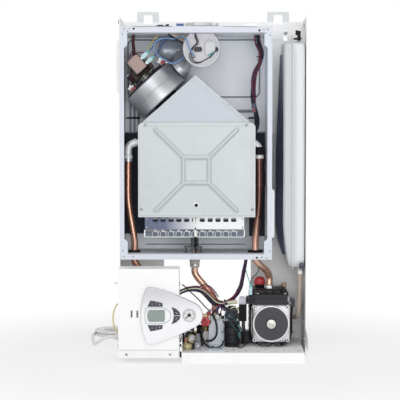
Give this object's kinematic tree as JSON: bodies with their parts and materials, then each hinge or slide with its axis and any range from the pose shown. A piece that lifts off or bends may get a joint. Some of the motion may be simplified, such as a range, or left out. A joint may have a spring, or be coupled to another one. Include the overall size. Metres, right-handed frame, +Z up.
{
  "type": "gas boiler",
  "caption": "Wall-hung gas boiler with its front casing off: sealed chamber, fan, burner, pump, valves, expansion vessel and a swing-down control box.",
  "frame": {"origin": "on the floor under the middle of the boiler, without its mains lead", "axes": "+X to the right seen from the front, +Y from the front towards the wall, +Z up"},
  "size_m": [0.4869, 0.4628, 0.751],
  "materials": {
    "white_paint": "smooth white powder coat on sheet steel, lightly scuffed",
    "galvanised_sheet": "galvanised sheet with a faint blue cast and spangle",
    "aluminised_sheet": "matt aluminised sheet",
    "stainless_sheet": "brushed stainless steel",
    "copper": "bright copper tube",
    "silver_metal": "soft silver metal",
    "brass": "machined brass, slightly dull",
    "lamination": "varnished steel laminations",
    "coil_tape": "beige winding tape",
    "white_plastic": "fine-grained white plastic",
    "black_plastic": "moulded black plastic",
    "grey_plastic": "dark grey moulded keys",
    "display_glass": "glossy grey-green display window",
    "red_plastic": "moulded red plastic",
    "pale_plastic": "pale grey moulded plastic",
    "blue_rubber": "soft blue silicone tube",
    "black_rubber": "dull black rubber",
    "grey_rubber": "dull grey rubber",
    "cast_aluminium": "sand-cast aluminium",
    "ceramic": "white ceramic",
    "fibre_board": "ceramic fibre board",
    "vessel_paint": "off-white paint on pressed steel",
    "hose_rubber": "grey-beige rubber hose",
    "wire_insulation": "bundled insulated wires",
    "earth_insulation": "green and yellow insulation",
    "lead_sheath": "off-white cable sheath",
    "dial_face": "matt gauge dial",
    "dark_plate": "dark grey painted plate"
  },
  "bodies": {
    "root": {"left_side_panel": "white_paint", "right_side_panel": "white_paint", "hanger_rail": "white_paint", "bottom_tray": "white_paint", "control_box_bracket": "galvanised_sheet", "chamber_shell": "galvanised_sheet", "combustion_casing": "aluminised_sheet", "combustion_cover": "aluminised_sheet", "insulation_lining": "fibre_board", "heat_exchanger": "silver_metal", "flue_hood": "aluminised_sheet", "fan_casing_lower": "stainless_sheet", "fan_casing_upper": "stainless_sheet", "fan_motor": "lamination", "fan_motor_coil": "coil_tape", "flue_collar": "stainless_sheet", "pressure_switch": "pale_plastic", "pressure_tube": "blue_rubber", "burner_rack": "galvanised_sheet", "gas_manifold": "galvanised_sheet", "ignition_electrode": "ceramic", "flow_grommet": "black_rubber", "return_grommet": "black_rubber", "flow_pipe": "copper", "return_pipe": "copper", "gas_gland": "grey_rubber", "gas_pipe": "copper", "gas_valve": "galvanised_sheet", "water_group": "brass", "diverter_actuator": "black_plastic", "flow_sensor": "black_plastic", "pump_motor": "cast_aluminium", "pump_face_plate": "dark_plate", "pump_volute": "black_plastic", "pump_terminal_box": "black_plastic", "vessel_shell_left": "vessel_paint", "vessel_shell_right": "vessel_paint", "vessel_hose": "hose_rubber", "chamber_loom": "wire_insulation", "lower_loom": "wire_insulation", "cord_gland": "lead_sheath", "mains_cord": "lead_sheath", "cord_coil": "lead_sheath"},
    "control_box": {"control_box_shell": "white_paint", "fascia": "white_plastic", "display_window": "display_glass", "pressure_gauge": "dial_face", "earth_wire": "earth_insulation"},
    "gauge_needle": {"gauge_needle": "black_plastic"},
    "key_upper_left": {"key_upper_left": "grey_plastic"},
    "key_upper_right": {"key_upper_right": "grey_plastic"},
    "key_lower_left": {"key_lower_left": "grey_plastic"},
    "key_lower_right": {"key_lower_right": "grey_plastic"},
    "key_crescent_upper": {"key_crescent_upper": "grey_plastic"},
    "key_crescent_lower": {"key_crescent_lower": "grey_plastic"},
    "fan_impeller": {"fan_impeller": "aluminised_sheet"},
    "pump_rotor": {"pump_rotor": "cast_aluminium"},
    "pump_bleed_cap": {"pump_bleed_cap": "silver_metal"},
    "relief_valve_knob": {"relief_valve_knob": "red_plastic"},
    "air_vent_cap": {"air_vent_cap": "red_plastic"}
  },
  "joints": [
    {"name": "control_box_swing", "type": "hinge", "parent": "root", "child": "control_box", "pos_m": [-0.04517, -0.044, 0.052], "axis": [0, 1, 0], "range_deg": [0, 90]},
    {"name": "gauge_needle_turn", "type": "hinge", "parent": "control_box", "child": "gauge_needle", "pos_m": [-0.04247, -0.112, 0.1021], "axis": [0, 1, 0], "range_deg": [0, 270], "stiffness_Nm_per_rad": 0.0002},
    {"name": "key_upper_left_press", "type": "slide", "parent": "control_box", "child": "key_upper_left", "axis": [0, 1, 0], "range_m": [0, 0.0012], "stiffness_N_per_m": 300},
    {"name": "key_upper_right_press", "type": "slide", "parent": "control_box", "child": "key_upper_right", "axis": [0, 1, 0], "range_m": [0, 0.0012], "stiffness_N_per_m": 300},
    {"name": "key_lower_left_press", "type": "slide", "parent": "control_box", "child": "key_lower_left", "axis": [0, 1, 0], "range_m": [0, 0.0012], "stiffness_N_per_m": 300},
    {"name": "key_lower_right_press", "type": "slide", "parent": "control_box", "child": "key_lower_right", "axis": [0, 1, 0], "range_m": [0, 0.0012], "stiffness_N_per_m": 300},
    {"name": "key_crescent_upper_press", "type": "slide", "parent": "control_box", "child": "key_crescent_upper", "axis": [0, 1, 0], "range_m": [0, 0.0012], "stiffness_N_per_m": 300},
    {"name": "key_crescent_lower_press", "type": "slide", "parent": "control_box", "child": "key_crescent_lower", "axis": [0, 1, 0], "range_m": [0, 0.0012], "stiffness_N_per_m": 300},
    {"name": "fan_spin", "type": "hinge", "parent": "root", "child": "fan_impeller", "pos_m": [-0.11667, 0.04595, 0.574], "axis": [-0.6756, 0, 0.7373], "continuous": true},
    {"name": "pump_spin", "type": "hinge", "parent": "root", "child": "pump_rotor", "pos_m": [0.13183, 0.006, 0.0715], "axis": [0, 1, 0], "continuous": true},
    {"name": "pump_bleed_cap_turn", "type": "hinge", "parent": "root", "child": "pump_bleed_cap", "pos_m": [0.13183, -0.031, 0.0715], "axis": [0, -1, 0], "range_deg": [0, 360]},
    {"name": "relief_valve_knob_turn", "type": "hinge", "parent": "root", "child": "relief_valve_knob", "pos_m": [-0.01017, -0.027, 0.077], "axis": [0, -1, 0], "range_deg": [0, 90]},
    {"name": "air_vent_cap_turn", "type": "hinge", "parent": "root", "child": "air_vent_cap", "pos_m": [0.10983, 0.06795, 0.17], "axis": [0, 0, 1], "range_deg": [0, 360]}
  ]
}
